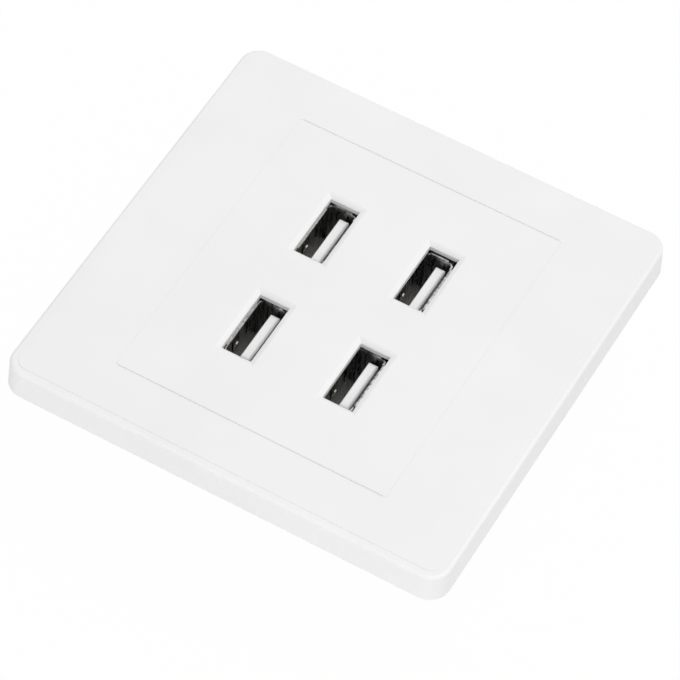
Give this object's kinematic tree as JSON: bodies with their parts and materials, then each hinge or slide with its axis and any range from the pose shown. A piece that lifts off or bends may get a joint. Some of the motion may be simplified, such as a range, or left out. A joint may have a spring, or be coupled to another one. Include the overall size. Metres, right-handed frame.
{
  "type": "usb wall socket",
  "caption": "Square white flush wall plate with a clip-on frame, a centre panel with USB-A outlets in a grid, and a rear housing with a small supply and screw terminals.",
  "frame": {"origin": "middle of the plate, on the surface of the wall, midway between the fixing slots", "axes": "+Z out of the wall through the front face, +X across the plate, +Y up the plate"},
  "size_m": [0.086, 0.086, 0.03],
  "materials": {
    "white_plastic": "smooth moulded, soft gloss",
    "housing_plastic": "fine spark-eroded texture",
    "shell_steel": "nickel-plated sheet, drawn grain",
    "insulator_white": "smooth moulded insulator",
    "contact_gold": "plated strip",
    "board_green": "solder mask over glass fibre",
    "ferrite": "sintered, fine grain",
    "bobbin_black": "moulded resin",
    "winding_tape": "wrapped polyester tape",
    "can_sleeve": "shrunk sleeve",
    "choke_sleeve": "shrunk sleeve over wire",
    "disc_blue": "dipped resin",
    "chip_black": "moulded resin",
    "resistor_body": "lacquered",
    "terminal_plastic": "moulded resin",
    "clamp_steel": "zinc plated",
    "bar_brass": "stamped strip"
  },
  "bodies": {
    "socket": {"socket_panel": "white_plastic", "rear_housing": "housing_plastic", "usb_shell_1": "shell_steel", "usb_shell_2": "shell_steel", "usb_shell_3": "shell_steel", "usb_shell_4": "shell_steel", "usb_tongue_1": "insulator_white", "usb_tongue_2": "insulator_white", "usb_tongue_3": "insulator_white", "usb_tongue_4": "insulator_white", "usb_contacts_1": "contact_gold", "usb_contacts_2": "contact_gold", "usb_contacts_3": "contact_gold", "usb_contacts_4": "contact_gold", "circuit_board": "board_green", "transformer_core": "ferrite", "transformer_bobbin": "bobbin_black", "transformer_winding": "winding_tape", "input_capacitors": "can_sleeve", "output_capacitors": "can_sleeve", "filter_choke": "choke_sleeve", "safety_capacitor": "disc_blue", "bridge_rectifier": "chip_black", "controller_chip": "chip_black", "output_diode": "chip_black", "fuse_resistor": "resistor_body", "terminal_body": "terminal_plastic", "housing_screws": "clamp_steel", "terminal_bar_live": "bar_brass", "terminal_bar_neutral": "bar_brass"},
    "frame": {"front_frame": "white_plastic"},
    "screw_live": {"terminal_screw_live": "clamp_steel"},
    "cage_live": {"terminal_cage_live": "clamp_steel"},
    "screw_neutral": {"terminal_screw_neutral": "clamp_steel"},
    "cage_neutral": {"terminal_cage_neutral": "clamp_steel"}
  },
  "joints": [
    {"name": "frame_pull", "type": "slide", "parent": "socket", "child": "frame", "axis": [0, 0, 1], "range_m": [0, 0.015]},
    {"name": "clamp_turn_live", "type": "hinge", "parent": "socket", "child": "screw_live", "pos_m": [-0.0052, -0.0186, -0.0207], "axis": [0, 0, 1], "range_deg": [0, 2160]},
    {"name": "cage_rise_live", "type": "slide", "parent": "socket", "child": "cage_live", "axis": [0, 0, -1], "range_m": [0, 0.003]},
    {"name": "clamp_turn_neutral", "type": "hinge", "parent": "socket", "child": "screw_neutral", "pos_m": [0.0052, -0.0186, -0.0207], "axis": [0, 0, 1], "range_deg": [0, 2160]},
    {"name": "cage_rise_neutral", "type": "slide", "parent": "socket", "child": "cage_neutral", "axis": [0, 0, -1], "range_m": [0, 0.003]}
  ],
  "couplings": [
    {"joint": "clamp_turn_live", "follows": "cage_rise_live", "rad_per_m": 12566},
    {"joint": "clamp_turn_neutral", "follows": "cage_rise_neutral", "rad_per_m": 12566}
  ]
}
